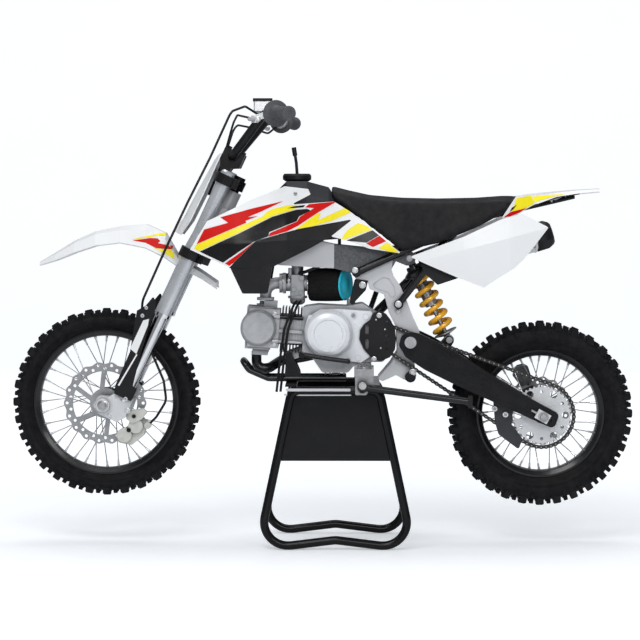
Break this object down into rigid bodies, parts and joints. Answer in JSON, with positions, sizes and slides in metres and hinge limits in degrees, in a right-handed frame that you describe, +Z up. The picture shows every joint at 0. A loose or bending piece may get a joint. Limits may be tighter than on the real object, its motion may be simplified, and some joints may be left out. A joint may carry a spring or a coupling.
{
  "type": "small dirt bike on a paddock stand",
  "caption": "Small off-road motorcycle with spoked wheels, knobbly tyres, an open frame and a long seat, held level on a tubular paddock stand.",
  "frame": {"origin": "on the floor, midway between the front of the front tyre and the back of the rear tyre, on the machine's middle plane", "axes": "+X to the rear of the machine, +Y to its right side, +Z up"},
  "size_m": [1.6124, 0.7704, 1.1645],
  "materials": {
    "bare_steel": "satin",
    "black_alloy": "satin anodised",
    "black_paint": "gloss",
    "chain_steel": "satin",
    "chrome_steel": "polished",
    "dark_plastic": "satin",
    "disc_steel": "brushed",
    "engine_alloy": "cast",
    "filter_foam": "matt",
    "fork_alloy": "satin",
    "frame_paint": "satin",
    "gold_steel": "gloss",
    "grip_rubber": "matt",
    "seat_cover": "matt",
    "silver_alloy": "satin",
    "spoke_steel": "polished",
    "tank_plastic": "satin",
    "tyre_rubber": "matt",
    "white_plastic": "gloss"
  },
  "bodies": {
    "chassis": {"air_filter": "filter_foam", "carburettor": "silver_alloy", "chain_guards": "dark_plastic", "drive_chain": "chain_steel", "engine_crankcase": "engine_alloy", "engine_cylinder": "engine_alloy", "engine_cylinder_head": "engine_alloy", "engine_guard": "black_paint", "engine_hoses": "dark_plastic", "engine_side_covers": "engine_alloy", "exhaust_pipe": "black_paint", "foot_controls": "bare_steel", "footpegs": "bare_steel", "front_sprocket": "bare_steel", "fuel_cap": "dark_plastic", "fuel_tank": "tank_plastic", "lower_panels": "dark_plastic", "main_frame": "frame_paint", "paddock_stand": "black_paint", "rear_axle_and_pivot_bolts": "bare_steel", "rear_brake_caliper": "silver_alloy", "rear_fender": "white_plastic", "rear_shock": "bare_steel", "rear_side_panels": "white_plastic", "seat": "seat_cover", "shock_spring": "gold_steel", "side_shrouds": "white_plastic", "silencer": "silver_alloy", "subframe": "black_paint", "swingarm": "black_alloy"},
    "steering": {"fork_outer_tubes": "fork_alloy", "fork_inner_tubes": "chrome_steel", "fork_feet": "silver_alloy", "fork_guards": "dark_plastic", "triple_clamps": "black_alloy", "handlebar_clamps": "black_alloy", "handlebar": "black_alloy", "grips": "grip_rubber", "hand_controls": "silver_alloy", "front_number_plate": "white_plastic", "front_fender": "white_plastic", "front_brake_caliper": "silver_alloy", "front_axle": "bare_steel", "hand_cables": "dark_plastic"},
    "front_wheel": {"front_tyre": "tyre_rubber", "front_rim": "black_alloy", "front_hub_and_spokes": "spoke_steel", "front_brake_disc": "disc_steel"},
    "rear_wheel": {"rear_tyre": "tyre_rubber", "rear_rim": "black_alloy", "rear_hub_and_spokes": "spoke_steel", "rear_brake_disc": "disc_steel", "rear_sprocket": "bare_steel"},
    "side_stand": {"side_stand": "black_paint"}
  },
  "joints": [
    {"name": "steering_turn", "type": "hinge", "parent": "chassis", "child": "steering", "pos_m": [-0.26637, 0, 0.83589], "axis": [0.4226, 0, 0.9063], "range_deg": [-40, 40]},
    {"name": "front_wheel_spin", "type": "hinge", "parent": "steering", "child": "front_wheel", "pos_m": [-0.56225, 0, 0.367], "axis": [0, 1, 0], "continuous": true},
    {"name": "rear_wheel_spin", "type": "hinge", "parent": "chassis", "child": "rear_wheel", "pos_m": [0.56575, 0, 0.338], "axis": [0, 1, 0], "continuous": true},
    {"name": "side_stand_swing", "type": "hinge", "parent": "chassis", "child": "side_stand", "pos_m": [0.102, -0.18, 0.419], "axis": [0, 0.9397, -0.342], "range_deg": [0, 90]}
  ]
}
